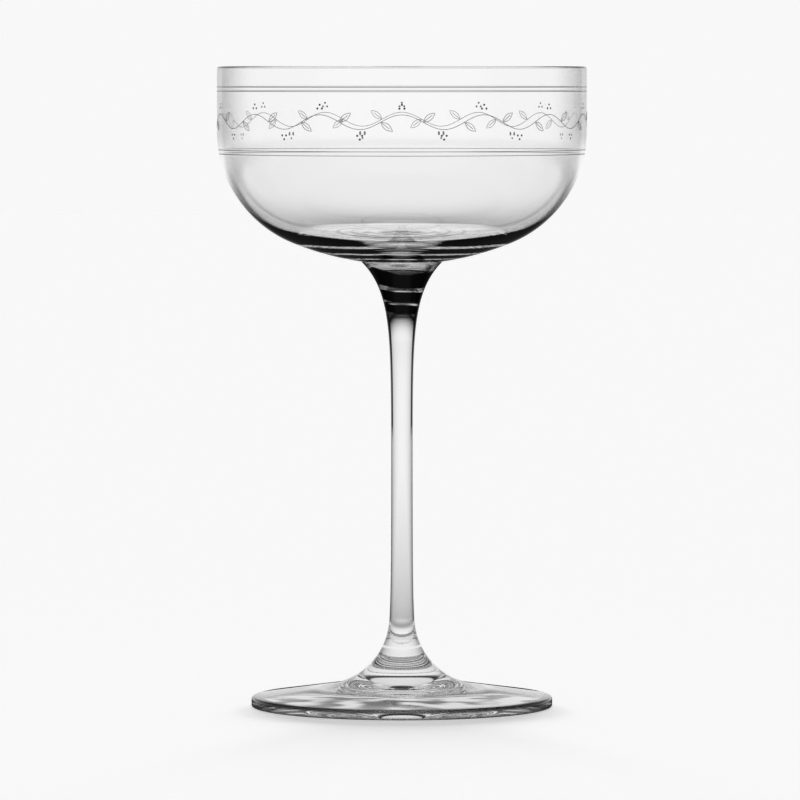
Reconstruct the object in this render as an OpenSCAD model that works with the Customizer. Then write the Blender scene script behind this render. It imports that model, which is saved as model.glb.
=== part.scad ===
// Champagne coupe: a blown bowl, a drawn stem and a cast foot, fused end to end.
// Millimetres, +Z up. The origin is on the table, on the axis of the glass.

/* [Overall] */
// Height from the table to the rim
height = 170; // [140:1:220]

/* [Bowl] */
// Outer diameter of the bowl
bowl_d = 98; // [80:1:120]
// Depth of the bowl from the rim to its underside, at the axis
bowl_depth = 52.5; // [46:0.5:70]
// Outer radius of the shoulder, where the upright wall turns under
shoulder_r = 32; // [22:0.5:40]
// Outer radius of the domed underside
base_r = 77; // [62:1:110]
// Thickness of the wall at the rim
rim_wall = 1.25; // [0.8:0.05:2.5]
// Outer less inner radius of the shoulder
shoulder_step = 3; // [2:0.1:5]
// Thickness of the glass below the shoulder
under_wall = 2.5; // [1.5:0.1:4]
// Inner radius of the dished floor, which is almost flat
floor_r = 500; // [150:10:900]

/* [Stem] */
// Diameter of the stem at its waist
waist_d = 5.7; // [4:0.1:9]
// Diameter of the flare that carries the bowl
flare_d = 21.6; // [14:0.2:30]
// Length in which each drawn flare dies away to about a third
draw_length = 8; // [4:0.1:12]
// Depth of the rounded tip that stands in the foot
tip_depth = 1.2; // [0.4:0.1:2.5]

/* [Foot] */
// Diameter of the foot
foot_d = 80; // [62:1:100]
// Thickness of the foot at its edge
foot_edge = 2.6; // [1.8:0.1:5]
// Fall of the upper face of the foot, in degrees
foot_slope = 8.4; // [4:0.1:16]
// Radius of the sweep from the foot up into the stem
sweep_r = 18.7; // [10:0.1:28]
// Diameter of the post on which the stem stands
post_d = 6.6; // [5.8:0.1:9]
// Radius of the fire-polished edge, on top
edge_round = 0.9; // [0.3:0.1:1.3]
// Radius of the edge on which the glass rests
heel_round = 0.5; // [0.2:0.1:0.9]
// Width of the flat ring on which the glass rests
rest_ring = 2.5; // [1:0.1:8]
// Height of the hollow under the foot, at the axis
hollow = 4.2; // [0.5:0.1:5]

/* [Hidden] */
$fn = 128;
clear_glass = [0.93, 0.95, 0.95, 0.45];
// Largest turn between two points of an arc, in degrees
arc_step = 2.5;
// Points along the drawn side of the stem
stem_steps = 96;

bowl_r = bowl_d / 2;
bowl_bottom = height - bowl_depth;
flare_r = flare_d / 2;
waist_r = waist_d / 2;
post_r = post_d / 2;
foot_r = foot_d / 2;

// The sweep of the foot starts along the drawn side of the stem and ends along the sloping upper face.
sweep_start = atan((post_r - waist_r) / draw_length);
sweep_x = post_r + sweep_r * cos(sweep_start);
sweep_foot_x = sweep_x - sweep_r * sin(foot_slope);
sweep_foot_z = foot_edge + (foot_r - sweep_foot_x) * tan(foot_slope);
sweep_z = sweep_foot_z + sweep_r * cos(foot_slope);
post_top = sweep_z - sweep_r * sin(sweep_start);
// The seat is the ring where the flare of the stem meets the underside of the bowl.
seat_turn = asin(flare_r / base_r);
seat_z = bowl_bottom + base_r * (1 - cos(seat_turn));

// The inner shoulder is set by the wall beside it and below it, and the floor inside runs tangent into it.
shoulder_z = bowl_bottom + base_r - (base_r - shoulder_r) * cos(cup_turn(bowl_r, shoulder_r, base_r));
inner_r = bowl_r - rim_wall;
inner_shoulder_r = shoulder_r - shoulder_step;
inner_turn = cup_turn(inner_r, inner_shoulder_r, floor_r);
inner_shoulder_z = shoulder_z - shoulder_step + under_wall;
floor_top = inner_shoulder_z - floor_r + (floor_r - inner_shoulder_r) * cos(inner_turn);

function reversed(list) = [for (i = [len(list) - 1 : -1 : 0]) list[i]];

// Points of an arc from its first angle up to, but not including, its last one
function arc(centre, r, first, last) =
    let (steps = max(2, ceil(abs(last - first) / arc_step)))
    [for (i = [0 : steps - 1]) let (a = first + (last - first) * i / steps) centre + r * [cos(a), sin(a)]];

// Angle at which a domed base runs tangent into its shoulder
function cup_turn(r, shoulder, base) = asin((r - shoulder) / (base - shoulder));

// Half outline of a cup from a given turn of its base up to the foot of the upright wall
function cup(r, bottom, shoulder, base, first_turn) =
    let (
        turn = cup_turn(r, shoulder, base),
        shoulder_z = bottom + base - (base - shoulder) * cos(turn)
    )
    concat(
        arc([0, bottom + base], base, first_turn - 90, turn - 90),
        arc([r - shoulder, shoulder_z], shoulder, turn - 90, 0),
        [[r, shoulder_z]]
    );

// Underside of the bowl inside the seat, from the axis outwards: the face shared by bowl and stem
function seat_face() = arc([0, bowl_bottom + base_r], base_r, -90, seat_turn - 90);

// Rounded tip of the stem, from the axis outwards: the face shared by stem and foot
tip_r = (post_r * post_r + tip_depth * tip_depth) / (2 * tip_depth);
function tip_face() = arc([0, post_top - tip_depth + tip_r], tip_r, -90, asin(post_r / tip_r) - 90);

// Drawn side of the stem, from the seat down to the post: two flares that fade into the waist
function drawn_side() = [
    for (i = [0 : stem_steps])
        let (
            z = seat_z + (post_top - seat_z) * i / stem_steps,
            upper = i == stem_steps ? 0 : exp((z - seat_z) / draw_length),
            lower = i == 0 ? 0 : exp((post_top - z) / draw_length)
        )
        [waist_r + (flare_r - waist_r) * upper + (post_r - waist_r) * lower, z]
];

module bowl() {
    lip_r = rim_wall / 2;
    outside = concat(seat_face(), cup(bowl_r, bowl_bottom, shoulder_r, base_r, seat_turn));
    lip = arc([bowl_r - lip_r, height - lip_r], lip_r, 0, 180);
    inside = cup(inner_r, floor_top, inner_shoulder_r, floor_r, 0);
    color(clear_glass)
        rotate_extrude()
            polygon(concat(outside, lip, [[inner_r, height - lip_r]], reversed(inside)));
}

module stem() {
    color(clear_glass)
        rotate_extrude()
            polygon(concat(seat_face(), drawn_side(), reversed(tip_face())));
}

module foot() {
    rest_r = foot_r - heel_round - rest_ring;
    hollow_r = (rest_r * rest_r + hollow * hollow) / (2 * hollow);
    // Centre of the rounded edge, which is tangent to the sloping face and to the rim of the foot
    edge_x = foot_r - edge_round;
    edge_z = foot_edge + edge_round * (tan(foot_slope) - 1 / cos(foot_slope));
    color(clear_glass)
        rotate_extrude()
            polygon(concat(
                tip_face(),
                arc([sweep_x, sweep_z], sweep_r, 180 + sweep_start, 270 - foot_slope),
                [[sweep_foot_x, sweep_foot_z]],
                arc([edge_x, edge_z], edge_round, 90 - foot_slope, 0),
                [[foot_r, edge_z]],
                arc([foot_r - heel_round, heel_round], heel_round, 0, -90),
                [[foot_r - heel_round, 0]],
                arc([0, hollow - hollow_r], hollow_r, 90 - asin(rest_r / hollow_r), 90),
                [[0, hollow]]
            ));
}

bowl();
stem();
foot();
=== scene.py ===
"""Champagne coupe: clear glass with an etched band, on a plain pale stage."""

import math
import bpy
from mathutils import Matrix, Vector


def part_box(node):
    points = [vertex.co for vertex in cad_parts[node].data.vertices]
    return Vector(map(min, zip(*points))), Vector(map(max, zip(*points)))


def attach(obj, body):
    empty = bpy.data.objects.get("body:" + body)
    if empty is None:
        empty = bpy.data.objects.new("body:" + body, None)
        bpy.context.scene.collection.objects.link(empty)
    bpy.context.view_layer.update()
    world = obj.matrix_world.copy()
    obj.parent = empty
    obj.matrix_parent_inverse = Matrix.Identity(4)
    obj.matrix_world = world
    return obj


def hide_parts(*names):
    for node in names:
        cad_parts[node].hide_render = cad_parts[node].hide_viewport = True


bl_info = {
    "name": "Champagne coupe",
    "version": (1, 0, 0),
    "blender": (4, 5, 0),
    "location": "View3D > Sidebar > Coupe",
    "description": "Builds the clear glass, the etched band and the stage of a champagne coupe",
    "category": "Add Mesh",
}

import bpy
import numpy as np
from bpy.props import FloatProperty, FloatVectorProperty, IntProperty, PointerProperty
from bpy.types import NodeSocket, Operator, Panel, PropertyGroup

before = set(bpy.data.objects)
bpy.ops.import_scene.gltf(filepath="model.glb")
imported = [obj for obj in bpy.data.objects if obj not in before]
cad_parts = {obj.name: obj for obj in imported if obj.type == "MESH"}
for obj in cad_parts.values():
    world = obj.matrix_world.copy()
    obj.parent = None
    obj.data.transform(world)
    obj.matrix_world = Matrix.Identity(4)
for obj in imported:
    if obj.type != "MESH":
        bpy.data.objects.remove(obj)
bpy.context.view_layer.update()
BOWL_LOW, BOWL_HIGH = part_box("bowl")
STEM_LOW, STEM_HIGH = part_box("stem")
_, FOOT_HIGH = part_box("foot")

MM = 0.001
QUARTER = math.pi / 2
FULL_TURN = 2 * math.pi
WHITE = (1, 1, 1, 1)

# Fineness of the meshes
SEGMENTS = 256
ARC_STEP = math.radians(1.0)
FINE_STEP = math.radians(0.4)
SMALL_ARC_STEP = math.radians(6.0)
DISH_STEP = math.radians(2.0)
WALL_STEPS = 8
STEM_STEPS = 180
VINE_STEPS = 32
LEAF_STEPS = 12
BERRY_SIDES = 12
SKY_STEPS = 401
# Distance from the ends of a straight wall at which points hold its shading, and from its end at a shoulder
HOLD = 0.08 * MM
SHOULDER_HOLD = 0.5 * MM
SAME_POINT = 1e-7
SHARP_EDGE = math.radians(11.5)
# Room between two fused faces, so that light meets them in turn, and between the glass and the floor
WELD_GAP = 0.003 * MM
FLOOR_GAP = 0.05 * MM

# Steps of a leaf along which its vein runs, and places of the three berries of a trio, in gaps
VEIN = slice(1, -3)
BERRY_TRIO = np.array(((-0.5, 0), (0.5, 0), (0, 0.75)))

GLASS_IOR = 1.5
BOUNCES = 24
# Radius out to which the tooling rings run, as a share of the radius of the piece
BASE_REACH = 0.75
FLOOR_REACH = 0.5
FLARE_REACH = 1.4
FOOT_REACH = 0.4
# Share of that radius from which the rings die away
REACH_FULL = 0.75
# Slow noise that makes the rings wander and breaks their lines, and fine noise of the etched grain
SOFT_NOISE = {"Detail": 1.0, "Roughness": 0.4}
WANDER_SCALE = 70.0
NOISE_MEAN = 0.5
GRAIN_NOISE = {"Scale": 900.0, "Detail": 4.0, "Roughness": 0.6}
# Two levels of the grain and the roughness at each
GRAIN_LEVELS = (0.2, 0.8)
GRAIN_ROUGHNESS = (0.55, 0.85)
# Level of a ring's wave at which its painted line of light or shade starts and is full,
# and level of the noise that breaks the lines
LINE_WAVE = (0.6, 0.97)
LINE_NOISE = (0.33, 0.45)
# Turn away from the eye at which a painted dark line starts to show and is at its full
PAINTED_LINE_TURN = (0.5, 0.75)
# An edge ramp of painted shade that is full at every turn, as for the flare, where the glass is thick
ALL_TURNS = (-1.0, -0.5)
# Level of the noise at which a painted gleam of light on the floor under the foot starts and is full
GLEAM_NOISE = (0.4, 0.57)
# Share of its radius out to which the floor under the foot is all painted shadow and gleams
UNDER_FULL = 0.6
# Share of a direction along the line of sight under which it counts as aside, and over which as ahead
SIDE_TURN = (0.45, 0.8)


def length(name, description, default):
    """A size in metres that a user can change."""
    return FloatProperty(name=name, description=description, default=default, unit="LENGTH", precision=5)


def mm(name, description, size):
    """A size, given in millimetres."""
    return length(name, description, size * MM)


def share(name, description, default):
    """A share or a level between none and all."""
    return FloatProperty(name=name, description=description, default=default, subtype="FACTOR", min=0, max=1)


def angle(name, description, degrees):
    """An angle that a user can change."""
    return FloatProperty(name=name, description=description, default=math.radians(degrees), subtype="ANGLE")


def colour(name, description, default):
    """A colour in linear light."""
    return FloatVectorProperty(
        name=name, description=description, default=default, subtype="COLOR", size=4, min=0, max=1,
    )


def grey(name, description, level):
    """A grey in linear light."""
    return colour(name, description, (level, level, level, 1))


def pair(name, description, first, second, unit="NONE"):
    """Two values between which something changes."""
    return FloatVectorProperty(
        name=name, description=description, default=(first, second), size=2, unit=unit, precision=5,
    )


def turn_pair(name, change, first, second):
    """Two turns away from the eye between which something changes."""
    return pair(name, f"Turns away from the eye between which {change}", first, second)


def height_pair(name, change, first, second):
    """Two heights over the table, given in millimetres, between which something changes."""
    return pair(name, f"Heights between which {change}", first * MM, second * MM, "LENGTH")


def distance_pair(name, change, first, second):
    """Two distances from the axis, given in metres, between which something changes."""
    return pair(name, f"Distances from the axis between which {change}", first, second, "LENGTH")


def angle_pair(name, change, first, second):
    """Two angles to the floor, given in degrees, between which something changes."""
    first, second = math.radians(first), math.radians(second)
    return pair(name, f"Angles to the floor between which {change}", first, second, "ROTATION")


class CoupeSizes(PropertyGroup):
    """Sizes of the glass; those that model.glb shows come from its parts."""

    height: length("Height", "From the table to the rim", BOWL_HIGH.z)
    bowl_d: length("Bowl diameter", "Outer diameter of the bowl", 2 * BOWL_HIGH.x)
    bowl_depth: length("Bowl depth", "From the rim to the underside, at the axis", BOWL_HIGH.z - BOWL_LOW.z)
    shoulder_r: mm("Shoulder radius", "Outer radius where the upright wall turns under", 32)
    base_r: mm("Base radius", "Outer radius of the domed underside", 77)
    rim_wall: mm("Rim wall", "Thickness of the wall at the rim", 1.25)
    shoulder_step: mm("Shoulder step", "Outer less inner radius of the shoulder", 3)
    under_wall: mm("Under wall", "Thickness of the glass below the shoulder", 2.5)
    floor_r: mm("Floor radius", "Inner radius of the almost flat floor", 500)
    waist_d: mm("Waist diameter", "Diameter of the stem at its waist", 5.7)
    flare_d: length("Flare diameter", "Diameter of the flare that carries the bowl", 2 * STEM_HIGH.x)
    draw_length: mm("Draw length", "Length in which a drawn flare dies away to about a third", 8)
    tip_depth: length("Tip depth", "Depth of the rounded tip in the foot", FOOT_HIGH.z - STEM_LOW.z)
    foot_d: length("Foot diameter", "Diameter of the foot", 2 * FOOT_HIGH.x)
    foot_edge: mm("Foot edge", "Thickness of the foot at its edge", 2.6)
    foot_slope: angle("Foot slope", "Fall of the upper face of the foot", 8.4)
    sweep_r: mm("Sweep radius", "Radius of the sweep from the foot up into the stem", 18.7)
    post_d: mm("Post diameter", "Diameter of the post on which the stem stands", 6.6)
    edge_round: mm("Edge round", "Radius of the fire-polished edge", 0.9)
    heel_round: mm("Heel round", "Radius of the edge on which the glass rests", 0.5)
    rest_ring: mm("Rest ring", "Width of the flat ring on which the glass rests", 2.5)
    hollow: mm("Hollow", "Height of the hollow under the foot, at the axis", 4.2)


class EtchedBand(PropertyGroup):
    """Sizes of the etched band round the bowl."""

    upper_ring: mm("Upper ring", "Height of the upper pair of rings over the table", 164)
    lower_ring: mm("Lower ring", "Height of the lower pair of rings over the table", 147.4)
    ring_gap: mm("Ring gap", "Distance between the two rings of a pair", 1.1)
    line_width: mm("Line width", "Width of an etched line", 0.14)
    line_rise: mm("Line rise", "Height of an etched line over the polished glass", 0.03)
    line_sink: mm("Line sink", "Depth of an etched line under the polished glass", 0.02)
    turn: angle("Turn", "Turn that lays the far side of the vine behind the near one", 6.43)
    repeats: IntProperty(name="Repeats", description="Waves of the vine round the bowl", default=14, min=3)
    vine_level: mm("Vine level", "Height of the middle of the vine over the table", 155.6)
    vine_swing: mm("Vine swing", "Distance of a crest of the vine from its middle", 1.9)
    leaf_length: mm("Leaf length", "Length of a leaf", 3.9)
    leaf_width: mm("Leaf width", "Width of a leaf", 1.5)
    leaf_lean: angle("Leaf lean", "Lean of a leaf from the run of the vine", 66)
    berry_d: mm("Berry diameter", "Diameter of an etched berry", 0.6)
    berry_gap: mm("Berry gap", "Distance between the berries of a trio", 1.3)
    berry_lift: mm("Berry lift", "Distance of a trio of berries from the crest of the vine", 1.6)


class GlassFinishAndShade(PropertyGroup):
    """Colours of the finishes, and where painted shade darkens the glass as it turns away from the eye.

    The dark edges, the dark curves of the base, the dark flare, heel and rim, the softer shade, the dusk and
    the dark lines are painted shade in the colour of the glass, and the streaks are painted light. A pair of
    turns runs from where a dark edge starts to where it is full, and a pair of heights from where the dark
    is full to where it has died away.
    """

    clear: colour("Clear glass", "Colour of the polished glass, seen straight on", (0.993, 0.995, 0.994, 1))
    # Greys of the painted shade at the dark edges of each piece and in the dark curves of the base
    wall_painted_shade: grey("Wall, dark", "Colour of the dark edge of the wall", 0.1)
    base_painted_shade: grey("Base, dark", "Colour of the dark sides of the base", 0.0)
    stem_painted_shade: grey("Stem, dark", "Colour of the dark edge of the stem", 0.0)
    foot_painted_shade: grey("Foot, dark", "Colour of the dark edge of the foot", 0.03)
    # Turns and heights of the painted shade: dark edges, dark curves, flare, heel, rim, a softer shade and
    # the dusk
    wall_edge: turn_pair("Wall edge", "the wall darkens", 0.4, 1.0)
    wall_fade: height_pair("Wall fade", "the dark edge of the wall dies away", 153, 143)
    base_edge: turn_pair("Base edge", "the base darkens, to either side", 0.04, 0.12)
    base_fade: height_pair("Base fade", "the dark base draws out to the outline", 124.6, 130)
    stem_edge: turn_pair("Stem edge", "the stem darkens", 0.3, 0.44)
    stem_fade: height_pair("Stem fade", "the dark edge of the stem dies away", 75, 62)
    stem_shade: turn_pair("Stem shade", "a softer shade covers the stem", -0.1, 0.82)
    dusk: height_pair("Dusk", "the shade of the lower stem would die away", -50, 78)
    flare: height_pair("Flare", "the dark of the flare dies away", 104.2, 102.8)
    flare_top: mm("Flare top", "Height from which the dark of the flare dies away to the seat", 117.5)
    flare_edge: turn_pair("Flare edge", "the sides of the flare darken", 0.3, 0.85)
    flare_side: height_pair("Flare side", "the dark sides of the flare die away", 110, 104.2)
    foot_edge: turn_pair("Foot edge", "the foot darkens", 0.9, 1.0)
    heel: height_pair("Heel", "the dark heel of the foot dies away", 0.2, 1.2)
    rim_below: height_pair("Rim, below", "the dark rim of the foot dies away below", 1.9, 1.2)
    rim_above: height_pair("Rim, above", "the dark rim of the foot dies away above", 2.6, 3)
    sweep: height_pair("Sweep", "the shade of the stem dies away on the sweep", 15, 7)
    ring_spacing: mm("Ring spacing", "Distance between two tooling rings in the thick glass", 4)
    ring_depth: mm("Ring depth", "Height of a tooling ring on the outside of the bowl", 0.012)
    inner_ring_depth: mm("Inner ring depth", "Height of a tooling ring in the bowl", 0.035)
    ring_drift: mm("Ring drift", "Distance by which the tooling rings wander", 2)
    flare_spacing: mm("Flare spacing", "Distance between two rings in the flare of the stem", 2.4)
    # Painted streaks of light along the rings, and painted dark lines across the thick glass
    streaks: share("Streaks", "Share of the dark that streaks of light along the rings take away", 0.8)
    painted_line_spacing: mm("Furrow spacing", "Distance between two furrows in the thick glass", 3.7)
    floor_painted_lines: share("Floor furrows", "Strength of the dark furrows in the floor of the bowl", 0.9)
    base_painted_lines: share("Base furrows", "Strength of the dark furrows in the base of the bowl", 1.0)
    foot_painted_lines: share("Foot furrows", "Strength of the dark furrows in the sweep of the foot", 0.8)
    etched_pale: grey("Etched, pale", "Paler grey of the etched lines", 0.3)
    etched_deep: grey("Etched, deep", "Deeper grey of the etched lines", 0.16)


class CoupeStage(PropertyGroup):
    """Camera, floor and light, and the levels that the glass mirrors or lets through."""

    camera_distance: length("Camera distance", "From the axis of the glass to the camera", 1.77)
    camera_height: length("Camera height", "Height of the camera over the table", 0.1705)
    camera_side: length("Camera side", "Place of the camera beside the axis", -0.0005)
    aim_height: length("Aim height", "Height on the axis at which the camera looks", 0.0815)
    view_width: length("View width", "Width of the picture at the axis of the glass", 0.2124)
    floor_size: length("Floor size", "Side of the square floor", 12)
    white: share("White", "Level of the pale floor and surroundings", 0.94)
    dark: share("Dark", "Level overhead, seen through the glass", 0.004)
    mirrored_dark: share("Mirrored dark", "Level overhead, as the glass mirrors it", 0.15)
    horizon: angle("Horizon", "Elevation at which the surroundings start to turn dark", 2.5)
    through_top: angle("Through top", "Elevation at which they are dark, seen through the glass", 9)
    mirrored_top: angle("Mirrored top", "Elevation at which they are dark, as the glass mirrors them", 26)
    band: share("Pale band", "Level of a pale band over the glass, seen through it", 0.8)
    band_rise: angle_pair("Band, low end", "the pale band starts", 12, 16)
    band_fall: angle_pair("Band, high end", "the pale band ends", 44, 48)
    mirrored_sides: share("Mirrored sides", "Share of the mirrored level that is left to either side", 0.4)
    # In reflections in the glass the floor glows darker near it, a painted shade, and pale far off
    mirrored: share("Mirrored floor", "Mirrored level of the near floor behind the glass", 0.03)
    mirrored_front: share("Mirrored front", "Mirrored level of the near floor before the glass", 0.12)
    mirrored_far: distance_pair("Mirrored far", "the mirrored floor turns pale", 0.35, 1.8)
    behind: distance_pair("Behind", "the floor comes to count as behind the glass", -0.05, 0.1)
    # Through the glass the floor glows with painted shade behind it, and a painted shadow and gleams under
    # the foot
    through: share("Floor through glass", "Deepest level of the floor seen through the glass", 0.3)
    grade: angle_pair("Grade", "the floor falls to that level", 4, 15)
    steep: angle_pair("Steep", "the floor turns pale again", 14, 20)
    under: share("Floor under foot", "Level of the floor under the foot, seen through the glass", 0.06)
    under_r: length("Under radius", "Radius of the floor that counts as under the foot", 0.07)
    gleam: share("Gleams under foot", "Level of the gleams of light on that floor", 0.94)
    gleam_size: length("Gleam size", "Size of those gleams", 0.011)
    gleam_rise: angle_pair("Gleam rise", "the gleams spread all over that floor", 11, 20)
    lamps: IntProperty(name="Lamps", description="Number of soft lamps in the fan", default=5, min=1)
    lamp_rise: angle("Lamp rise", "Elevation of the soft lamps behind the glass", 8)
    lamp_spread: angle("Lamp spread", "Angle that each soft lamp fills, and from one lamp to the next", 9)
    lamp_share: share("Lamp share", "Share of the floor's white that comes from the soft lamps", 0.35)
    floor_colour: grey("Floor colour", "Colour of the floor where the lamps light it", 0.8)


def arc(centre, radius, first, last, step=ARC_STEP):
    """Points at a radius from a centre, from the first angle to the last in even turns of a step or less."""
    steps = max(2, math.ceil(abs(last - first) / step))
    turn = np.linspace(first, last, steps + 1)
    return np.column_stack((centre[0] + radius * np.cos(turn), centre[1] + radius * np.sin(turn)))


def wall(first, last, first_hold=HOLD):
    """A straight stretch of even points, with one near either end so that no curve bends its shading."""
    first, last = np.array(first), np.array(last)
    run = (last - first) / np.linalg.norm(last - first)
    middle = np.linspace(first + first_hold * run, last - HOLD * run, WALL_STEPS + 1)
    return np.concatenate(([first], middle, [last]))


def joined(*stretches):
    """One outline from stretches that each start where the last one ended, without the repeated points."""
    points = np.concatenate(stretches)
    moved = np.linalg.norm(np.diff(points, axis=0), axis=1) > SAME_POINT
    return points[np.append(True, moved)]


def cup_turn(radius, shoulder, base):
    """Turn from the lowest point at which a domed base runs tangent into its shoulder."""
    return math.asin((radius - shoulder) / (base - shoulder))


def shoulder_lift(radius, shoulder, base):
    """Height of the centre of a cup's shoulder over the lowest point of the cup."""
    return base - (base - shoulder) * math.cos(cup_turn(radius, shoulder, base))


def cup(radius, bottom, shoulder, base, first_turn):
    """Half outline of a cup: an arc of its base from a first turn, then the tangent arc of its shoulder."""
    turn = cup_turn(radius, shoulder, base)
    shoulder_centre = (radius - shoulder, bottom + shoulder_lift(radius, shoulder, base))
    return joined(
        arc((0, bottom + base), base, first_turn - QUARTER, turn - QUARTER, FINE_STEP),
        arc(shoulder_centre, shoulder, turn - QUARTER, 0),
    )


def dish(rim_r, rim_z, depth):
    """Half outline of a shallow dish: the arc from its lowest point, on the axis, up to its rim."""
    radius = (rim_r ** 2 + depth ** 2) / (2 * depth)
    return arc((0, rim_z - depth + radius), radius, -QUARTER, math.asin(rim_r / radius) - QUARTER, DISH_STEP)


class CoupeShape:
    """Half outlines of the glass, as arrays of radius and height, worked out from its sizes."""

    def __init__(self, sizes):
        self.sizes = sizes
        self.bowl_r = sizes.bowl_d / 2
        self.bowl_bottom = sizes.height - sizes.bowl_depth
        self.shoulder_z = self.bowl_bottom + shoulder_lift(self.bowl_r, sizes.shoulder_r, sizes.base_r)
        self.flare_r = sizes.flare_d / 2
        self.waist_r = sizes.waist_d / 2
        self.post_r = sizes.post_d / 2
        self.foot_r = sizes.foot_d / 2
        self.heel_x = self.foot_r - sizes.heel_round
        self.rest_r = self.heel_x - sizes.rest_ring
        # The sweep of the foot starts along the drawn side of the stem and ends along the sloping face.
        self.sweep_start = math.atan((self.post_r - self.waist_r) / sizes.draw_length)
        self.sweep_x = self.post_r + sizes.sweep_r * math.cos(self.sweep_start)
        self.sweep_foot_x = self.sweep_x - sizes.sweep_r * math.sin(sizes.foot_slope)
        self.sweep_foot_z = sizes.foot_edge + (self.foot_r - self.sweep_foot_x) * math.tan(sizes.foot_slope)
        self.sweep_z = self.sweep_foot_z + sizes.sweep_r * math.cos(sizes.foot_slope)
        self.post_top = self.sweep_z - sizes.sweep_r * math.sin(self.sweep_start)
        # The seat is the ring where the flare of the stem meets the underside of the bowl.
        self.seat_turn = math.asin(self.flare_r / sizes.base_r)
        self.seat_z = self.bowl_bottom + sizes.base_r * (1 - math.cos(self.seat_turn))

    def seat_face(self, room=0.0):
        """Face shared by bowl and stem, the part of the bowl's base inside the seat."""
        return dish(self.flare_r, self.seat_z, self.seat_z - self.bowl_bottom + room)

    def tip_face(self, room=0.0):
        """Face shared by stem and foot, the rounded tip of the stem inside the rim of the post."""
        return dish(self.post_r, self.post_top, self.sizes.tip_depth + room)

    def bowl_outside(self):
        """Bowl from the seat up the outside: base, shoulder, upright wall and half-round lip."""
        sizes = self.sizes
        lip_r = sizes.rim_wall / 2
        lip_z = sizes.height - lip_r
        return joined(
            cup(self.bowl_r, self.bowl_bottom, sizes.shoulder_r, sizes.base_r, self.seat_turn),
            wall((self.bowl_r, self.shoulder_z), (self.bowl_r, lip_z), SHOULDER_HOLD),
            arc((self.bowl_r - lip_r, lip_z), lip_r, 0, math.pi, SMALL_ARC_STEP),
        )

    def bowl_inside(self):
        """Bowl from the middle of the floor up the inside to the lip.

        The inner shoulder leaves the rim wall beside it and the under wall below it, and the floor runs
        tangent into it.
        """
        sizes = self.sizes
        inner_r = self.bowl_r - sizes.rim_wall
        shoulder = sizes.shoulder_r - sizes.shoulder_step
        inner_shoulder_z = self.shoulder_z - sizes.shoulder_step + sizes.under_wall
        floor_z = inner_shoulder_z - shoulder_lift(inner_r, shoulder, sizes.floor_r)
        lip_z = sizes.height - sizes.rim_wall / 2
        return joined(
            cup(inner_r, floor_z, shoulder, sizes.floor_r, 0),
            wall((inner_r, inner_shoulder_z), (inner_r, lip_z), SHOULDER_HOLD),
        )

    def drawn_side(self):
        """Side of the stem from post to seat: the waist and two flares that die away exponentially."""
        z = np.linspace(self.post_top, self.seat_z, STEM_STEPS + 1)
        fade = self.sizes.draw_length
        upper = (self.flare_r - self.waist_r) * np.exp((z - self.seat_z) / fade)
        lower = (self.post_r - self.waist_r) * np.exp((self.post_top - z) / fade)
        upper[0] = 0
        lower[-1] = 0
        return np.column_stack((self.waist_r + upper + lower, z))

    def foot_hollow(self):
        """Hollow under the foot, the arc from its middle down to the inner edge of the rest ring."""
        hollow = self.sizes.hollow
        radius = (self.rest_r ** 2 + hollow ** 2) / (2 * hollow)
        last = QUARTER - math.asin(self.rest_r / radius)
        return arc((0, hollow - radius), radius, QUARTER, last, FINE_STEP)

    def foot_side(self):
        """Foot from the rest ring, over the heel, the rounded edge and the sweep, up to the post."""
        sizes = self.sizes
        slope = sizes.foot_slope
        edge_x = self.foot_r - sizes.edge_round
        edge_z = sizes.foot_edge + sizes.edge_round * (math.tan(slope) - 1 / math.cos(slope))
        edge = arc((edge_x, edge_z), sizes.edge_round, 0, QUARTER - slope, SMALL_ARC_STEP)
        sweep_turns = (3 * QUARTER - slope, math.pi + self.sweep_start)
        return joined(
            wall((self.rest_r, 0), (self.heel_x, 0)),
            arc((self.heel_x, sizes.heel_round), sizes.heel_round, -QUARTER, 0, SMALL_ARC_STEP),
            edge,
            wall(edge[-1], (self.sweep_foot_x, self.sweep_foot_z)),
            arc((self.sweep_x, self.sweep_z), sizes.sweep_r, *sweep_turns),
        )

    def outer_radius(self, z):
        """Outer radius of the bowl at a height: the upright wall, and below it the arc of the shoulder."""
        shoulder = self.sizes.shoulder_r
        drop = np.clip(self.shoulder_z - z, 0, shoulder)
        return self.bowl_r - shoulder + np.sqrt(shoulder ** 2 - drop ** 2)


def make_piece(name, points, face_sets, materials, face_materials, stands_for=()):
    """Puts points and sets of faces, each an array of corner numbers, into a piece of the glass."""
    mesh = bpy.data.meshes.new(name)
    corners = np.concatenate([faces.ravel() for faces in face_sets])
    sides = np.concatenate([np.full(len(faces), faces.shape[1]) for faces in face_sets])
    mesh.vertices.add(len(points))
    mesh.vertices.foreach_set("co", points.ravel())
    mesh.loops.add(len(corners))
    mesh.loops.foreach_set("vertex_index", corners)
    mesh.polygons.add(len(sides))
    mesh.polygons.foreach_set("loop_start", np.cumsum(sides) - sides)
    for material in materials:
        mesh.materials.append(material)
    mesh.polygons.foreach_set("material_index", face_materials)
    mesh.update(calc_edges=True)
    if mesh.validate():
        raise RuntimeError(f"the mesh of {name} had faults")
    mesh.shade_smooth()
    mesh.set_sharp_from_angle(angle=SHARP_EDGE)
    piece = bpy.data.objects.new(name, mesh)
    bpy.context.scene.collection.objects.link(piece)
    # Clear thin glass lets the light pass, so only the thick foot casts a shadow
    piece.visible_shadow = "foot" in stands_for
    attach(piece, "root")
    for node in stands_for:
        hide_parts(node)


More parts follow.
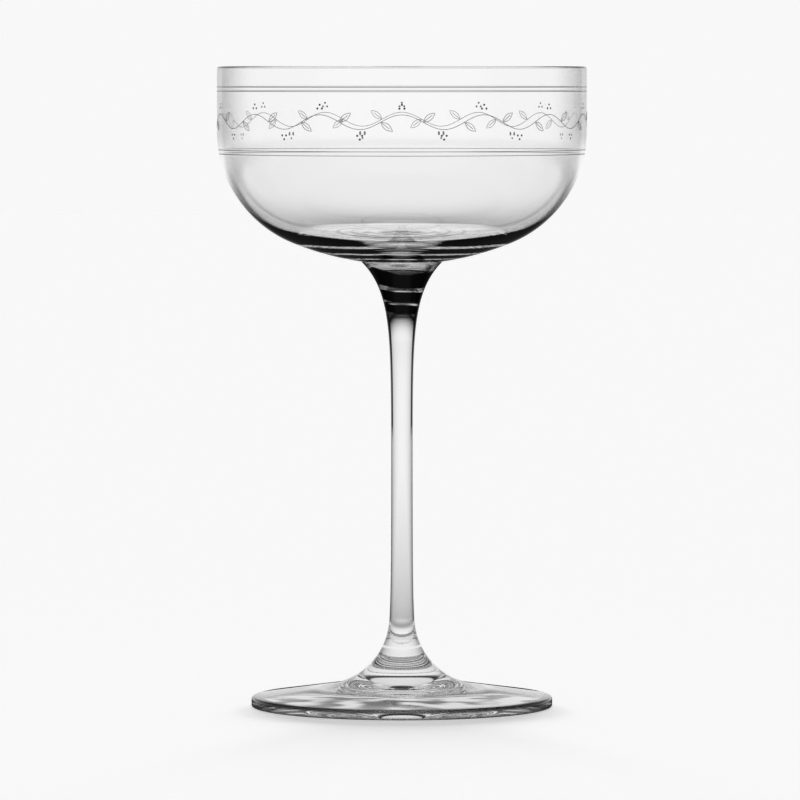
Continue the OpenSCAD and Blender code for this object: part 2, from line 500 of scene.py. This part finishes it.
def revolve(name, stretches, materials, stands_for):
    """Carries a half outline round the axis, as x = r cos t and y = r sin t for even turns t.

    Each stretch is an array of radius and height with the number of its material. The first point and the
    last lie on the axis, and fans close the two poles.
    """
    outline = joined(*[points for points, _ in stretches])
    row_materials = np.concatenate([np.full(len(points) - 1, number) for points, number in stretches])
    turn = np.arange(SEGMENTS) * FULL_TURN / SEGMENTS
    radius, z = outline[1:-1, :1], outline[1:-1, 1:]
    level = np.repeat(z, SEGMENTS, axis=1)
    grid = np.stack((radius * np.cos(turn), radius * np.sin(turn), level), axis=-1)
    poles = np.array([(0, 0, outline[0, 1]), (0, 0, outline[-1, 1])])
    points = np.concatenate((grid.reshape(-1, 3), poles))
    ring = np.arange(len(radius) * SEGMENTS).reshape(-1, SEGMENTS)
    after = np.roll(ring, -1, axis=1)
    first_pole = np.full(SEGMENTS, len(points) - 2)
    last_pole = np.full(SEGMENTS, len(points) - 1)
    face_sets = (
        np.column_stack((first_pole, after[0], ring[0])),
        np.stack((ring[:-1], after[:-1], after[1:], ring[1:]), axis=-1).reshape(-1, 4),
        np.column_stack((ring[-1], after[-1], last_pole)),
    )
    face_materials = np.repeat(row_materials, SEGMENTS)
    make_piece(name, points, face_sets, materials, face_materials, stands_for)


def etch(name, points, face_sets):
    """Puts points and sets of faces into a piece of the etched band."""
    plain = np.zeros(sum(len(faces) for faces in face_sets), int)
    make_piece(name, points.reshape(-1, 3), face_sets, [etched_glass()], plain)


def on_bowl(shape, band, flat, lift):
    """Lays points of arc length and height on the outside of the bowl, lifted away from its axis."""
    turn = flat[..., 0] / shape.bowl_r + band.turn
    z = flat[..., 1]
    radius = shape.outer_radius(z) + lift
    return np.stack((radius * np.cos(turn), radius * np.sin(turn), z), axis=-1)


def ribbons(name, shape, band, paths, closed):
    """Etched lines: each path, a row of points of arc length and height, gets a thin four-sided section.

    The edges lie half a line width to either side of the path, square to its run, and each edge has one
    point sunk into the glass and one lifted over it. Closed paths run on into themselves, and open ones get
    end caps.
    """
    girth = FULL_TURN * shape.bowl_r
    if closed:
        run = np.roll(paths, -1, axis=1) - np.roll(paths, 1, axis=1)
        run[..., 0] -= girth * np.round(run[..., 0] / girth)
    else:
        run = np.gradient(paths, axis=1)
    run /= np.linalg.norm(run, axis=-1, keepdims=True)
    aside = np.stack((-run[..., 1], run[..., 0]), axis=-1) * band.line_width / 2
    left, right = paths + aside, paths - aside
    lift = np.array((-band.line_sink, -band.line_sink, band.line_rise, band.line_rise))
    points = on_bowl(shape, band, np.stack((left, right, right, left), axis=2), lift)
    count, steps = paths.shape[:2]
    number = np.arange(count * steps * 4).reshape(count, steps, 4)
    stretch = slice(None) if closed else slice(-1)
    near = number[:, stretch]
    far = np.roll(number, -1, axis=1)[:, stretch]
    sides = np.stack((near, far, np.roll(far, -1, axis=2), np.roll(near, -1, axis=2)), axis=-1)
    caps = [] if closed else [number[:, 0], number[:, -1, ::-1]]
    etch(name, points, [sides.reshape(-1, 4), *caps])


def vine_wave(band, shape):
    """Length of one wave of the vine: the girth of the bowl over the number of waves."""
    return FULL_TURN * shape.bowl_r / band.repeats


def vine_height(band, shape, along):
    """Height of the vine: a sine wave about its middle, with a whole number of waves round the bowl."""
    return band.vine_level + band.vine_swing * np.sin(FULL_TURN * along / vine_wave(band, shape))


def leaf_places(band, shape):
    """Starts and directions of the leaves, two to a wave, each leaning into the hollow ahead of it.

    Where the vine crosses its middle its slope is the swing times a full turn over the wave. Rising, it
    sends a leaf down under its crest, and falling, one up over its trough.
    """
    wave = vine_wave(band, shape)
    half = np.arange(2 * band.repeats)
    side = np.where(half % 2 == 0, -1, 1)
    slope = math.atan(FULL_TURN * band.vine_swing / wave)
    start = np.column_stack((half * wave / 2, np.full(len(half), band.vine_level)))
    return start, side * (band.leaf_lean - slope)


def laid(start, direction, outline):
    """Copies of an outline, turned to each direction and moved to each start."""
    run = np.column_stack((np.cos(direction), np.sin(direction)))
    aside = np.column_stack((-run[:, 1], run[:, 0]))
    return start[:, None] + outline[:, :1] * run[:, None] + outline[:, 1:] * aside[:, None]


def berries(name, shape, band, centres):
    """Etched dots: each a double cone on a ring of points, one tip over the glass and one sunk into it."""
    turn = np.arange(BERRY_SIDES) * FULL_TURN / BERRY_SIDES
    ring = centres[:, None] + band.berry_d / 2 * np.column_stack((np.cos(turn), np.sin(turn)))
    flat = np.concatenate((ring, centres[:, None], centres[:, None]), axis=1)
    lift = np.zeros(BERRY_SIDES + 2)
    lift[-2:] = band.line_rise, -band.line_sink
    points = on_bowl(shape, band, flat, lift)
    number = np.arange(flat.shape[0] * flat.shape[1]).reshape(len(centres), -1)
    edge = number[:, :BERRY_SIDES]
    after = np.roll(edge, -1, axis=1)
    top = np.broadcast_to(number[:, -2:-1], edge.shape)
    tip = np.broadcast_to(number[:, -1:], edge.shape)
    face_sets = (
        np.stack((edge, after, top), axis=-1).reshape(-1, 3),
        np.stack((after, edge, tip), axis=-1).reshape(-1, 3),
    )
    etch(name, points, face_sets)


def place_node(tree, kind, inputs=None, **options):
    """Adds a node, sets its options and feeds its inputs from values or from other nodes' sockets."""
    made = tree.nodes.new(kind)
    for option, value in options.items():
        setattr(made, option, value)
    for socket, value in (inputs or {}).items():
        if isinstance(value, NodeSocket):
            tree.links.new(value, made.inputs[socket])
        else:
            made.inputs[socket].default_value = value
    return made


def smooth_step(tree, value, low, high, start=0.0, end=1.0):
    """A value that runs smoothly from a start to an end while its input runs from low to high."""
    made = place_node(tree, "ShaderNodeMapRange", {
        "Value": value, "From Min": low, "From Max": high, "To Min": start, "To Max": end,
    }, interpolation_type="SMOOTHSTEP")
    return made.outputs["Result"]


def maths(tree, operation, *values):
    """One step of arithmetic on values or sockets."""
    return place_node(tree, "ShaderNodeMath", dict(enumerate(values)), operation=operation).outputs[0]


def product(tree, first, *others):
    """The product of several values."""
    for other in others:
        first = maths(tree, "MULTIPLY", first, other)
    return first


def strongest(tree, first, *others):
    """The largest of several values."""
    for other in others:
        first = maths(tree, "MAXIMUM", first, other)
    return first


def rest(tree, value):
    """What a value leaves of one."""
    return maths(tree, "SUBTRACT", 1.0, value)


def blend(tree, factor, first, second):
    """A value that runs from the first to the second as a factor runs from none to all."""
    made = place_node(tree, "ShaderNodeMix", {"Factor": factor, "A": first, "B": second})
    return made.outputs["Result"]


def colour_mix(tree, factor, first, second):
    """A colour that runs from the first to the second as a factor runs from none to all."""
    made = place_node(tree, "ShaderNodeMix", data_type="RGBA")
    sockets = {socket.identifier: socket for socket in (*made.inputs, *made.outputs)}
    tree.links.new(factor, sockets["Factor_Float"])
    sockets["A_Color"].default_value = first
    sockets["B_Color"].default_value = second
    return sockets["Result_Color"]


def axis_share(tree, vector, axis):
    """One of the three numbers of a vector."""
    return place_node(tree, "ShaderNodeSeparateXYZ", {"Vector": vector}).outputs[axis]


def size_of(tree, vector):
    """The length of a vector."""
    return place_node(tree, "ShaderNodeVectorMath", {0: vector}, operation="LENGTH").outputs["Value"]


def turned_away(tree):
    """Turn of a surface away from the eye, one less the cosine of the angle at which it is seen."""
    return place_node(tree, "ShaderNodeLayerWeight", {"Blend": 0.5}).outputs["Facing"]


def object_place(tree):
    """Place of a point on the object."""
    return place_node(tree, "ShaderNodeTexCoord").outputs["Object"]


def new_material(name):
    """A material with an empty node tree, and that tree."""
    material = bpy.data.materials.new(name)
    material.use_nodes = True
    material.node_tree.nodes.clear()
    return material, material.node_tree


def finish_material(tree, shader):
    """Sends a shader to the surface output."""
    place_node(tree, "ShaderNodeOutputMaterial", {"Surface": shader.outputs[0]})


def ring_wave(tree, run, spacing):
    """Sine of the full turns of a distance over a spacing."""
    return maths(tree, "SINE", maths(tree, "MULTIPLY", maths(tree, "DIVIDE", run, spacing), FULL_TURN))


def broken_lines(tree, wave, noise, kept):
    """Mask of thin painted lines along the crests of a wave, broken where the noise is low."""
    return product(tree, smooth_step(tree, wave, *LINE_WAVE), kept, smooth_step(tree, noise, *LINE_NOISE))


def tooling_group():
    """Shared surface of hand-worked glass: rings round the axis that wander and die away at a radius.

    The height is depth times the sine of the full turns of radius less height over the spacing, where slow
    noise moves the rings by the drift. Masks of painted streaks of light run along the crests of the rings,
    and of painted dark lines along those of a second set with its own spacing, and the same noise breaks
    both.
    """
    name = "tooling_rings"
    if name in bpy.data.node_groups:
        return bpy.data.node_groups[name]
    tree = bpy.data.node_groups.new(name, "ShaderNodeTree")
    tree.interface.new_socket("Place", in_out="INPUT", socket_type="NodeSocketVector")
    for socket in ("Spacing", "Painted lines apart", "Depth", "Drift", "Reach"):
        tree.interface.new_socket(socket, in_out="INPUT", socket_type="NodeSocketFloat")
    for socket in ("Height", "Streaks", "Painted lines"):
        tree.interface.new_socket(socket, in_out="OUTPUT", socket_type="NodeSocketFloat")
    given = place_node(tree, "NodeGroupInput").outputs
    level = place_node(tree, "ShaderNodeVectorMath", {0: given["Place"], 1: (1, 1, 0)}, operation="MULTIPLY")
    radius = size_of(tree, level.outputs[0])
    noise = place_node(tree, "ShaderNodeTexNoise", {
        "Vector": given["Place"], "Scale": WANDER_SCALE, **SOFT_NOISE,
    }).outputs["Color"]
    noise = place_node(tree, "ShaderNodeSeparateColor", {"Color": noise}).outputs
    moved = product(tree, maths(tree, "SUBTRACT", noise["Red"], NOISE_MEAN), given["Drift"])
    run = maths(tree, "ADD", maths(tree, "SUBTRACT", radius, axis_share(tree, given["Place"], "Z")), moved)
    edge = product(tree, given["Reach"], REACH_FULL)
    kept = smooth_step(tree, radius, edge, given["Reach"], 1.0, 0.0)
    rings = ring_wave(tree, run, given["Spacing"])
    painted_lines = ring_wave(tree, run, given["Painted lines apart"])
    place_node(tree, "NodeGroupOutput", {
        "Height": product(tree, rings, given["Depth"], kept),
        "Streaks": broken_lines(tree, rings, noise["Green"], kept),
        "Painted lines": broken_lines(tree, painted_lines, noise["Blue"], kept),
    })
    return tree


def tooling(tree, place, reach, spacing, depth):
    """Tooling rings out to a radius: the glass's normal, and masks of painted light streaks and dark lines.
    """
    finish = bpy.context.scene.coupe_finish
    rings = place_node(tree, "ShaderNodeGroup", {
        "Place": place,
        "Spacing": spacing,
        "Painted lines apart": finish.painted_line_spacing,
        "Depth": depth,
        "Drift": finish.ring_drift,
        "Reach": reach,
    }, node_tree=tooling_group()).outputs
    bump = place_node(tree, "ShaderNodeBump", {"Strength": 1.0, "Distance": 1.0, "Height": rings["Height"]})
    return bump.outputs["Normal"], rings["Streaks"], rings["Painted lines"]


def edge_shade_ramp(tree, facing, level, turns, *fades):
    """Share of the painted shade, rising while the surface turns away from the eye between two turns.

    With each fade it dies away between two heights, from full at the first to none at the second.
    """
    shares = [smooth_step(tree, level, none, full) for full, none in fades]
    return product(tree, smooth_step(tree, facing, *turns), *shares)


def base_shade_crescents(tree, facing, level, turns, low, high):
    """Share of the painted shade in the thick base, in two dark curves to either side of the eye.

    The turn aside is one less the facing share over the level share of the normal. The dark starts at the
    first turn and is full at the second, and both move out to the outline from the low height to the high.
    """
    upright = axis_share(tree, place_node(tree, "ShaderNodeNewGeometry").outputs["Normal"], "Z")
    flat = maths(tree, "SQRT", rest(tree, product(tree, upright, upright)))
    aside = rest(tree, maths(tree, "DIVIDE", rest(tree, facing), flat))
    moved = place_node(tree, "ShaderNodeMapRange", {"Value": level, "From Min": low, "From Max": high})
    return smooth_step(tree, maths(tree, "SUBTRACT", aside, moved.outputs[0]), *turns)


def clear_glass(name, dark, ramps, reach, spacing, depth=0.0, painted_lines=0.0, crescent=None, unbroken=()):
    """Polished glass whose colour falls to a dark one where it turns away from the eye, as painted shade.

    The strongest of the ramps counts. Tooling rings run out to a reach: painted streaks of light along them
    break the painted dark, save that of the unbroken ramps, and painted dark lines of a given strength cross
    the rest.
    """
    finish = bpy.context.scene.coupe_finish
    material, tree = new_material(name)
    facing = turned_away(tree)
    place = object_place(tree)
    level = axis_share(tree, place, "Z")
    shares = [edge_shade_ramp(tree, facing, level, *ramp) for ramp in ramps]
    if crescent:
        shares.append(base_shade_crescents(tree, facing, level, *crescent))
    # The strongest painted shade of the dark edges, the flare and the dark curves of the base
    turned = strongest(tree, *shares)
    normal, streaks, lines = tooling(tree, place, reach, spacing, depth)
    # Painted dark lines across the glass, where the painted edge shade leaves room
    painted_line_shade = product(tree, lines, smooth_step(tree, facing, *PAINTED_LINE_TURN), painted_lines, rest(tree, turned))
    # Painted streaks of light that break the painted edge shade
    broken = product(tree, turned, rest(tree, product(tree, streaks, finish.streaks)))
    whole = [edge_shade_ramp(tree, facing, level, *ramp) for ramp in unbroken]
    shader = place_node(tree, "ShaderNodeBsdfPrincipled", {
        "Base Color": colour_mix(tree, strongest(tree, broken, painted_line_shade, *whole), finish.clear, dark),
        "Roughness": 0.0,
        "IOR": GLASS_IOR,
        "Transmission Weight": 1.0,
        "Normal": normal,
    })
    finish_material(tree, shader)
    return material


def weld_glass():
    """Inner faces where two gathers are fused: the light passes them straight, as in one body of glass."""
    name = "weld_glass"
    if name in bpy.data.materials:
        return bpy.data.materials[name]
    material, tree = new_material(name)
    shader = place_node(tree, "ShaderNodeBsdfPrincipled", {
        "Base Color": WHITE, "Roughness": 0.0, "IOR": 1.0, "Transmission Weight": 1.0,
    })
    finish_material(tree, shader)
    return material


def etched_glass():
    """Frosted grey of the etched lines, with a fine uneven grain."""
    name = "etched_glass"
    if name in bpy.data.materials:
        return bpy.data.materials[name]
    finish = bpy.context.scene.coupe_finish
    material, tree = new_material(name)
    noise = place_node(tree, "ShaderNodeTexNoise", {"Vector": object_place(tree), **GRAIN_NOISE})
    grain = noise.outputs["Fac"]
    shader = place_node(tree, "ShaderNodeBsdfPrincipled", {
        "Base Color": colour_mix(tree, grain, finish.etched_deep, finish.etched_pale),
        "Roughness": smooth_step(tree, grain, *GRAIN_LEVELS, *GRAIN_ROUGHNESS),
        "IOR": GLASS_IOR,
    })
    finish_material(tree, shader)
    return material


def smooth(value, low, high):
    """Smooth share of an array's run from low to high: three times its square less twice its cube."""
    run = np.clip((value - low) / (high - low), 0, 1)
    return run ** 2 * (3 - 2 * run)


def sines(turns):
    """Sines of several angles."""
    return [math.sin(turn) for turn in turns]


def etching(scene):
    """Shape of the glass, and the sizes of its etched band."""
    return CoupeShape(scene.coupe_sizes), scene.coupe_band


class COUPE_OT_stage(Operator):
    """Sets up the camera, the surroundings, the pale floor and the soft lamps"""

    bl_idname = "coupe.stage"
    bl_label = "Stage"

    def execute(self, context):
        scene = context.scene
        stage = scene.coupe_stage
        scene.view_settings.view_transform = "Standard"
        scene.cycles.use_denoising = True
        scene.cycles.max_bounces = BOUNCES
        scene.cycles.transmission_bounces = BOUNCES
        scene.cycles.glossy_bounces = BOUNCES
        self.camera(scene, stage)
        self.surroundings(scene, stage)
        self.lamps(scene, stage, self.floor(scene, stage))
        return {"FINISHED"}

    def camera(self, scene, stage):
        """A long lens at the height of the rim, tilted down to the middle of the glass."""
        view = bpy.data.cameras.new("camera")
        fall = stage.camera_height - stage.aim_height
        view.lens = view.sensor_width * math.hypot(stage.camera_distance, fall) / stage.view_width
        camera = bpy.data.objects.new("camera", view)
        camera.location = (stage.camera_side, -stage.camera_distance, stage.camera_height)
        camera.rotation_euler = (QUARTER - math.atan(fall / stage.camera_distance), 0, 0)
        scene.collection.objects.link(camera)
        scene.camera = camera

    def surroundings(self, scene, stage):
        """Pale all round for the camera.

        In the glass they are pale up to a little over the horizon and dark overhead, and light that passes
        through it also meets a pale band higher up.
        """
        world = bpy.data.worlds.new("surroundings")
        world.use_nodes = True
        tree = world.node_tree
        tree.nodes.clear()
        direction = place_node(tree, "ShaderNodeTexCoord").outputs["Generated"]
        up = axis_share(tree, direction, "Z")
        sides = self.sides(tree, stage, axis_share(tree, direction, "Y"))
        low, mirrored_top, through_top = sines((stage.horizon, stage.mirrored_top, stage.through_top))
        mirrored = smooth_step(tree, up, low, mirrored_top, stage.white, stage.mirrored_dark)
        below = smooth_step(tree, up, low, through_top, stage.white, stage.dark)
        rising = smooth_step(tree, up, *sines(stage.band_rise), 0.0, stage.band)
        falling = smooth_step(tree, up, *sines(stage.band_fall), 1.0, 0.0)
        through = strongest(tree, below, product(tree, rising, falling, sides))
        rays = place_node(tree, "ShaderNodeLightPath").outputs
        in_glass = blend(tree, rays["Is Transmission Ray"], product(tree, mirrored, sides), through)
        level = blend(tree, rays["Is Camera Ray"], in_glass, stage.white)
        light = place_node(tree, "ShaderNodeBackground", {"Color": WHITE, "Strength": level})
        place_node(tree, "ShaderNodeOutputWorld", {"Surface": light.outputs["Background"]})
        scene.world = world

    def sides(self, tree, stage, along):
        """Share of the mirrored level: all of it before and behind the glass, and less to either side."""
        return smooth_step(tree, maths(tree, "ABSOLUTE", along), *SIDE_TURN, stage.mirrored_sides, 1.0)

    def skylight(self, stage):
        """Light of the surroundings off the floor: twice the mean of level times sine of elevation."""
        up, turn = np.meshgrid(np.linspace(0, 1, SKY_STEPS), np.linspace(0, QUARTER, SKY_STEPS))
        dark = smooth(up, *sines((stage.horizon, stage.mirrored_top)))
        ahead = smooth(np.sqrt(1 - up ** 2) * np.cos(turn), *SIDE_TURN)
        level = stage.white + (stage.mirrored_dark - stage.white) * dark
        level *= stage.mirrored_sides + (1 - stage.mirrored_sides) * ahead
        return stage.floor_colour[0] * 2 * float(np.mean(level * up))

    def floor(self, scene, stage):
        """A flat pale floor: the lamps give a share of its white and a glow makes up the rest.

        Light that the glass mirrors or lets through meets the floor at glowing levels of its own: painted
        shade, a painted shadow under the foot and painted gleams of light.
        """
        half = stage.floor_size / 2
        corners = np.column_stack((
            (-half, half, half, -half), (-half, -half, half, half), np.full(4, -FLOOR_GAP),
        ))
        mesh = bpy.data.meshes.new("floor")
        mesh.from_pydata(corners.tolist(), [], [(0, 1, 2, 3)])
        material, tree = new_material("pale_floor")
        glow = place_node(tree, "ShaderNodeEmission", {
            "Color": WHITE, "Strength": stage.white * (1 - stage.lamp_share) - self.skylight(stage),
        })
        paint = place_node(tree, "ShaderNodeBsdfDiffuse", {"Color": stage.floor_colour})
        both = place_node(tree, "ShaderNodeAddShader", {0: glow.outputs[0], 1: paint.outputs[0]})
        place = object_place(tree)
        out = size_of(tree, place)
        back = axis_share(tree, place, "Y")
        mirrored = self.mirrored_floor(tree, stage, out, back)
        through = self.floor_through_glass(tree, stage, place, out, back)
        rays = place_node(tree, "ShaderNodeLightPath").outputs
        in_glass = place_node(tree, "ShaderNodeEmission", {
            "Color": WHITE, "Strength": blend(tree, rays["Is Transmission Ray"], mirrored, through),
        })
        seen = place_node(tree, "ShaderNodeMixShader", {
            0: rays["Is Camera Ray"], 1: in_glass.outputs[0], 2: both.outputs[0],
        })
        finish_material(tree, seen)
        mesh.materials.append(material)
        floor = bpy.data.objects.new("floor", mesh)
        scene.collection.objects.link(floor)
        return floor

    def mirrored_floor(self, tree, stage, out, back):
        """Floor's glow as the glass mirrors it: a painted shade nearby, pale far off and less to either
        side.
        """
        near = smooth_step(tree, back, *stage.behind, stage.mirrored_front, stage.mirrored)
        level = blend(tree, smooth_step(tree, out, *stage.mirrored_far), near, stage.white)
        return product(tree, level, self.sides(tree, stage, maths(tree, "DIVIDE", back, out)))

    def floor_through_glass(self, tree, stage, place, out, back):
        """Level at which the floor glows seen through the glass, by the sine of the angle at which the light
        meets it.

        Behind the glass it falls to its deepest level, a painted shade, and rises again. Under the foot it
        is a painted shadow with painted gleams of light, where a soft noise is high, and the gleams spread
        as the angle rises.
        """
        rise = rest(tree, turned_away(tree))
        shallow = smooth_step(tree, rise, *sines(stage.grade))
        steep = smooth_step(tree, rise, *sines(stage.steep), 1.0, 0.0)
        graded = product(tree, shallow, steep, smooth_step(tree, back, *stage.behind))
        around = blend(tree, graded, stage.white, stage.through)
        patches = place_node(tree, "ShaderNodeTexNoise", {
            "Vector": place, "Scale": 1 / stage.gleam_size, **SOFT_NOISE,
        }).outputs["Fac"]
        dim = smooth_step(tree, rise, *sines(stage.gleam_rise), stage.under, stage.gleam)
        under = smooth_step(tree, patches, *GLEAM_NOISE, dim, stage.gleam)
        clear = smooth_step(tree, out, stage.under_r * UNDER_FULL, stage.under_r)
        return blend(tree, clear, under, around)

    def lamps(self, scene, stage, floor):
        """A fan of soft lamps low behind the glass that light only the floor, for a share of its white."""
        lit = bpy.data.collections.new("lit_by_soft_lamps")
        lit.objects.link(floor)
        full = math.pi * stage.white * stage.lamp_share / stage.floor_colour[0] / math.sin(stage.lamp_rise)
        for number in range(stage.lamps):
            light = bpy.data.lights.new("soft_lamp", "SUN")
            light.angle = stage.lamp_spread
            light.energy = full / stage.lamps
            lamp = bpy.data.objects.new("soft_lamp", light)
            turn = (number - (stage.lamps - 1) / 2) * stage.lamp_spread
            lamp.rotation_euler = (stage.lamp_rise - QUARTER, 0, turn)
            lamp.location = (-math.sin(turn), math.cos(turn), math.tan(stage.lamp_rise))
            lamp.visible_glossy = False
            lamp.visible_transmission = False
            lamp.light_linking.receiver_collection = lit
            scene.collection.objects.link(lamp)


class COUPE_OT_bowl(Operator):
    """Builds the blown bowl"""

    bl_idname = "coupe.bowl"
    bl_label = "Bowl"

    def execute(self, context):
        shape = CoupeShape(context.scene.coupe_sizes)
        finish = context.scene.coupe_finish
        # Painted shade: a dark edge on the wall, and two dark curves in the base
        edge = (finish.wall_edge, finish.wall_fade)
        crescent = (finish.base_edge, *finish.base_fade)
        outer = clear_glass(
            "bowl_outer_glass", finish.base_painted_shade, [edge], BOWL_HIGH.x * BASE_REACH, finish.ring_spacing,
            depth=finish.ring_depth, painted_lines=finish.base_painted_lines, crescent=crescent,
        )
        inner = clear_glass(
            "bowl_inner_glass", finish.wall_painted_shade, [edge], BOWL_HIGH.x * FLOOR_REACH, finish.ring_spacing,
            depth=finish.inner_ring_depth, painted_lines=finish.floor_painted_lines,
        )
        stretches = ((shape.seat_face(), 2), (shape.bowl_outside(), 0), (shape.bowl_inside()[::-1], 1))
        revolve("bowl_glass", stretches, [outer, inner, weld_glass()], ["bowl"])
        return {"FINISHED"}


class COUPE_OT_stem(Operator):
    """Builds the drawn stem"""

    bl_idname = "coupe.stem"
    bl_label = "Stem"

    def execute(self, context):
        shape = CoupeShape(context.scene.coupe_sizes)
        finish = context.scene.coupe_finish
        # Ramps of painted shade: the dark flare and its sides, the dark edge, a softer shade and the dusk of
        # the lower stem
        flare = (ALL_TURNS, finish.flare, (finish.flare_top, STEM_HIGH.z))
        side = (finish.stem_edge, finish.stem_fade, tuple(finish.flare_side)[::-1])
        flare_side = (finish.flare_edge, finish.flare_side)
        shade = (finish.stem_shade,)
        dusk = (ALL_TURNS, finish.dusk)
        glass = clear_glass(
            "stem_glass", finish.stem_painted_shade, [flare], STEM_HIGH.x * FLARE_REACH, finish.flare_spacing,
            unbroken=(side, flare_side, shade, dusk),
        )
        stretches = ((shape.tip_face(), 1), (shape.drawn_side(), 0), (shape.seat_face(WELD_GAP)[::-1], 1))
        revolve("stem_glass", stretches, [glass, weld_glass()], ["stem"])
        return {"FINISHED"}


class COUPE_OT_foot(Operator):
    """Builds the cast and spun foot"""

    bl_idname = "coupe.foot"
    bl_label = "Foot"

    def execute(self, context):
        shape = CoupeShape(context.scene.coupe_sizes)
        finish = context.scene.coupe_finish
        # Ramps of painted shade: the dark edge of the disc, the dark heel and rim, and the stem's softer
        # shade on the sweep
        disc = (finish.foot_edge,)
        heel = (ALL_TURNS, finish.heel)
        rim = (ALL_TURNS, finish.rim_below, finish.rim_above)
        sweep = (finish.stem_shade, finish.sweep)
        reach = FOOT_HIGH.x * FOOT_REACH
        upper = clear_glass(
            "foot_glass", finish.foot_painted_shade, [disc, heel, rim, sweep], reach, finish.ring_spacing,
            painted_lines=finish.foot_painted_lines,
        )
        under = clear_glass("foot_under_glass", finish.foot_painted_shade, [disc], reach, finish.ring_spacing)
        stretches = ((shape.foot_hollow(), 1), (shape.foot_side(), 0), (shape.tip_face(WELD_GAP)[::-1], 2))
        revolve("foot_glass", stretches, [upper, under, weld_glass()], ["foot"])
        return {"FINISHED"}


class COUPE_OT_etched_rings(Operator):
    """Etches two pairs of plain rings round the bowl"""

    bl_idname = "coupe.etched_rings"
    bl_label = "Etched rings"

    def execute(self, context):
        shape, band = etching(context.scene)
        along = np.arange(SEGMENTS) * FULL_TURN * shape.bowl_r / SEGMENTS
        middles = np.array((band.upper_ring, band.lower_ring))
        levels = np.concatenate((middles - band.ring_gap / 2, middles + band.ring_gap / 2))
        paths = np.stack(np.broadcast_arrays(along, levels[:, None]), axis=-1)
        ribbons("etched_rings", shape, band, paths, True)
        return {"FINISHED"}


class COUPE_OT_etched_vine(Operator):
    """Etches a running vine round the bowl"""

    bl_idname = "coupe.etched_vine"
    bl_label = "Etched vine"

    def execute(self, context):
        shape, band = etching(context.scene)
        steps = band.repeats * VINE_STEPS
        along = np.arange(steps) * FULL_TURN * shape.bowl_r / steps
        paths = np.stack((along, vine_height(band, shape, along)), axis=-1)[None]
        ribbons("etched_vine", shape, band, paths, True)
        return {"FINISHED"}


class COUPE_OT_etched_leaves(Operator):
    """Etches outlined leaves with a vein along the vine"""

    bl_idname = "coupe.etched_leaves"
    bl_label = "Etched leaves"

    def execute(self, context):
        shape, band = etching(context.scene)
        start, direction = leaf_places(band, shape)
        along = np.linspace(0, 1, LEAF_STEPS + 1)
        # A leaf is a lens: half its width times the sine of half a turn along its length, on either side
        side = np.column_stack((along * band.leaf_length, np.sin(math.pi * along) * band.leaf_width / 2))
        outline = np.concatenate((side[:-1], side[:0:-1] * (1, -1)))[::-1]
        vein = side[VEIN] * (1, 0)
        ribbons("etched_leaves", shape, band, laid(start, direction, outline), True)
        ribbons("etched_veins", shape, band, laid(start, direction, vein), False)
        return {"FINISHED"}


class COUPE_OT_etched_berries(Operator):
    """Etches a trio of berries outside each crest of the vine"""

    bl_idname = "coupe.etched_berries"
    bl_label = "Etched berries"

    def execute(self, context):
        shape, band = etching(context.scene)
        half = np.arange(2 * band.repeats)
        side = np.where(half % 2 == 0, 1, -1)
        along = (half + 0.5) * vine_wave(band, shape) / 2
        height = band.vine_level + side * (band.vine_swing + band.berry_lift)
        trio = BERRY_TRIO * band.berry_gap
        x = along[:, None] + trio[:, 0]
        z = height[:, None] + side[:, None] * trio[:, 1]
        berries("etched_berries", shape, band, np.stack((x, z), axis=-1).reshape(-1, 2))
        return {"FINISHED"}


class COUPE_PT_panel(Panel):
    """Lists the steps that build the coupe"""

    bl_idname = "COUPE_PT_panel"
    bl_label = "Champagne coupe"
    bl_space_type = "VIEW_3D"
    bl_region_type = "UI"
    bl_category = "Coupe"

    def draw(self, context):
        for step in STEPS:
            self.layout.operator(step.bl_idname)


STEPS = (
    COUPE_OT_stage,
    COUPE_OT_bowl,
    COUPE_OT_stem,
    COUPE_OT_foot,
    COUPE_OT_etched_rings,
    COUPE_OT_etched_vine,
    COUPE_OT_etched_leaves,
    COUPE_OT_etched_berries,
)
SETTINGS = {
    "coupe_sizes": CoupeSizes,
    "coupe_band": EtchedBand,
    "coupe_finish": GlassFinishAndShade,
    "coupe_stage": CoupeStage,
}
CLASSES = (*SETTINGS.values(), *STEPS, COUPE_PT_panel)


def register():
    """Registers the classes and hangs the settings on the scene."""
    for made in CLASSES:
        bpy.utils.register_class(made)
    for name, settings in SETTINGS.items():
        setattr(bpy.types.Scene, name, PointerProperty(type=settings))


def unregister():
    """Takes the settings and the classes away again."""
    for name in SETTINGS:
        delattr(bpy.types.Scene, name)
    for made in reversed(CLASSES):
        bpy.utils.unregister_class(made)


def main():
    """Builds the coupe on its stage."""
    register()
    bpy.ops.coupe.stage()
    bpy.ops.coupe.bowl()
    bpy.ops.coupe.stem()
    bpy.ops.coupe.foot()
    bpy.ops.coupe.etched_rings()
    bpy.ops.coupe.etched_vine()
    bpy.ops.coupe.etched_leaves()
    bpy.ops.coupe.etched_berries()


if __name__ == "__main__":
    main()
